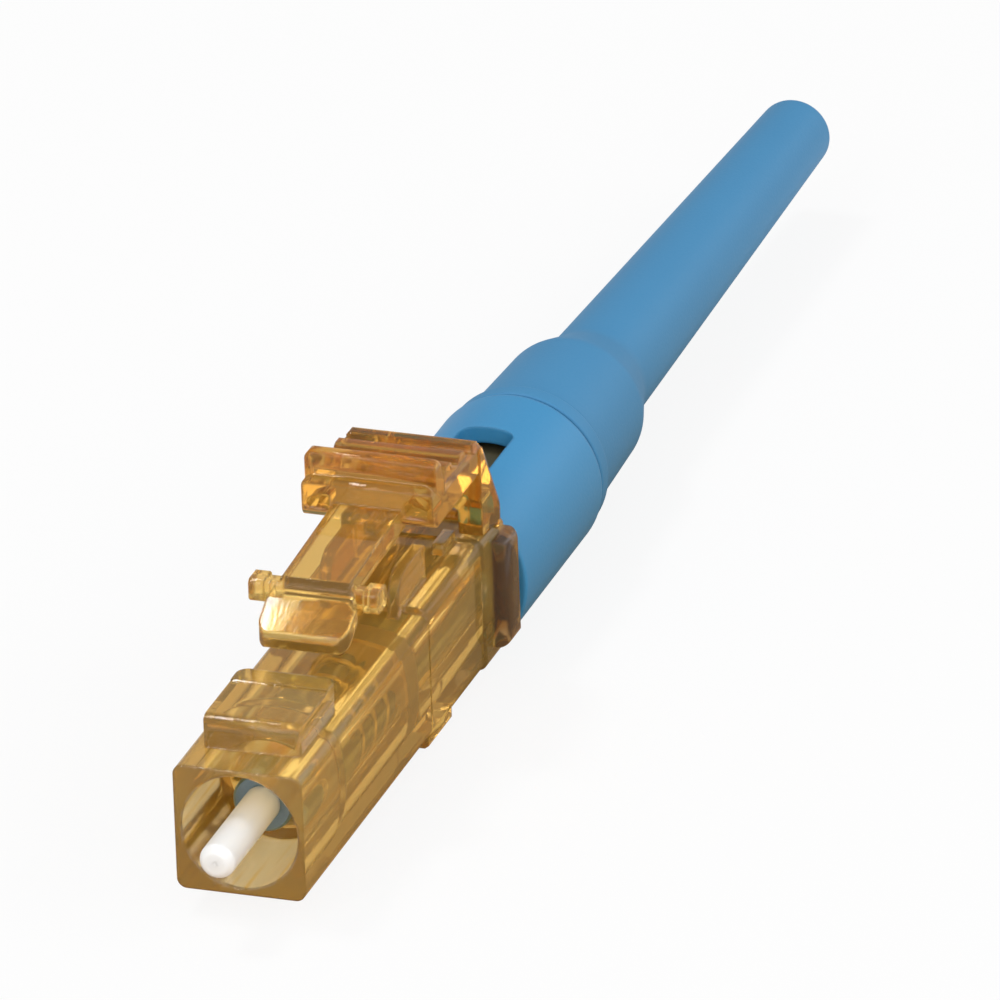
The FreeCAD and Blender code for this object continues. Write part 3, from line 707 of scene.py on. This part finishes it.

# %% [markdown]
# The plug lies on a pale floor.
# The floor could be lit until it is white, but that would wash out the plug. Instead it is white to the camera
# by itself, and keeps a little of its own shading so that the shadow stays.
# Light that comes through the amber or off a gloss face sees less of the plain white and more of the shaded
# floor. Round the housing that floor has a painted amber shadow, darker and warmer, which the camera doesn't see:
# it stands in for the dimmed, amber-tinted light that falls through the plastic.

# %% Floor
FLOOR_HALF = 0.6
FLOOR_BELOW_MM = 0.02
AMBER_SHADOW_MIDDLE_MM, AMBER_SHADOW_REACH_MM, AMBER_SHADOW_STRENGTH = (4, 18), (28, 42), 1.6
FLOOR_GREY, FLOOR_PAINTED_SHADOW = (0.8, 0.8, 0.8), (0.42, 0.24, 0.08)
WHITE_TO_CAMERA, WHITE_OFF_GLOSS, WHITE_THROUGH_AMBER = 0.88, 0.10, 0.50

floor_z = cad_box[0][2] - FLOOR_BELOW_MM * MM
floor_mesh = bpy.data.meshes.new("floor")
floor_mesh.from_pydata([(x * FLOOR_HALF, y * FLOOR_HALF, floor_z)
                        for x, y in ((-1, -1), (1, -1), (1, 1), (-1, 1))], [], [(0, 1, 2, 3)])
floor = bpy.data.objects.new("floor", floor_mesh)
scene.collection.objects.link(floor)
pale = bpy.data.materials.new("pale floor")
pale.use_nodes = True
pale.node_tree.nodes.clear()
camera_ray = Flow(pale.node_tree).node("ShaderNodeLightPath", out="Is Camera Ray")
gloss_ray, amber_ray = camera_ray.output("Is Glossy Ray"), camera_ray.output("Is Transmission Ray")
spot = camera_ray.node("ShaderNodeTexCoord", out="Object")
oval = spot.node("ShaderNodeMapping", None, {
    "Vector": spot, "Location": [-m / r for m, r in zip(AMBER_SHADOW_MIDDLE_MM, AMBER_SHADOW_REACH_MM)] + [0],
    "Scale": [1 / (r * MM) for r in AMBER_SHADOW_REACH_MM] + [1]})
# painted amber shadow on the floor round the housing, hidden from the camera
amber_shadow_paint = oval.node("ShaderNodeTexGradient", {"gradient_type": "SPHERICAL"}, {"Vector": oval}, 1)
amber_shadow_paint = amber_shadow_paint * AMBER_SHADOW_STRENGTH * (1 - camera_ray)
matt = spot.node("ShaderNodeBsdfDiffuse", None, {"Color": tint(amber_shadow_paint, FLOOR_GREY, FLOOR_PAINTED_SHADOW)})
white = spot.node("ShaderNodeEmission", None, {"Color": (1, 1, 1, 1), "Strength": 1.0})
plain = WHITE_TO_CAMERA * camera_ray + WHITE_OFF_GLOSS * gloss_ray + WHITE_THROUGH_AMBER * amber_ray
mixed = plain.node("ShaderNodeMixShader", None, {0: plain, 1: matt, 2: white})
mixed.node("ShaderNodeOutputMaterial", None, {"Surface": mixed})
floor_mesh.materials.append(pale)
print("floor at", round(floor_z / MM, 2), "mm")

# %% [markdown]
# Soft studio light falls on the plug from a white world and from six panels.
# One large lamp would do for a dull object, but clear and glossy plastic is seen by what it mirrors.
# A small bright panel at the upper left is placed so that its edge is mirrored across the latch's tongue, which
# makes the white patch there, and a tall strip at the front left draws a pale line along rounded edges. Wide
# soft panels at both sides of the camera, on the right and behind on the right lighten the end faces, the right
# side and the rim of the boot.

# %% Lights and world
MIDDLE_MM = (0, 20, 0)
WORLD_STRENGTH = 0.42


def panel(name, place_mm, target_mm, size_mm, watts):
    light = bpy.data.objects.new(name, bpy.data.lights.new(name, "AREA"))
    light.data.shape = "RECTANGLE"
    light.data.size, light.data.size_y = (length * MM for length in size_mm)
    light.data.energy = watts
    light.location = Vector(place_mm) * MM
    light.rotation_euler = (Vector(target_mm) - Vector(place_mm)).to_track_quat("-Z", "Y").to_euler()
    scene.collection.objects.link(light)
    print(name, "watts", watts)


panel("key panel", (-187, 38, 430), (-187, 38, 0), size_mm=(90, 90), watts=0.65)
panel("edge strip", (-108, -305, 300), (0, 10, 0), size_mm=(60, 420), watts=0.35)
panel("front panel", (60, -400, 190), MIDDLE_MM, size_mm=(300, 300), watts=0.7)
panel("side panel", (277, -274, 171), MIDDLE_MM, size_mm=(240, 240), watts=0.3)
panel("fill panel", (330, 60, 200), MIDDLE_MM, size_mm=(240, 240), watts=0.4)
panel("rim panel", (220, 400, 150), MIDDLE_MM, size_mm=(200, 200), watts=0.15)
world = bpy.data.worlds.new("studio")
scene.world = world
world.use_nodes = True
background = world.node_tree.nodes["Background"]
background.inputs["Color"].default_value = (1, 1, 1, 1)
background.inputs["Strength"].default_value = WORLD_STRENGTH
print("world strength", WORLD_STRENGTH)
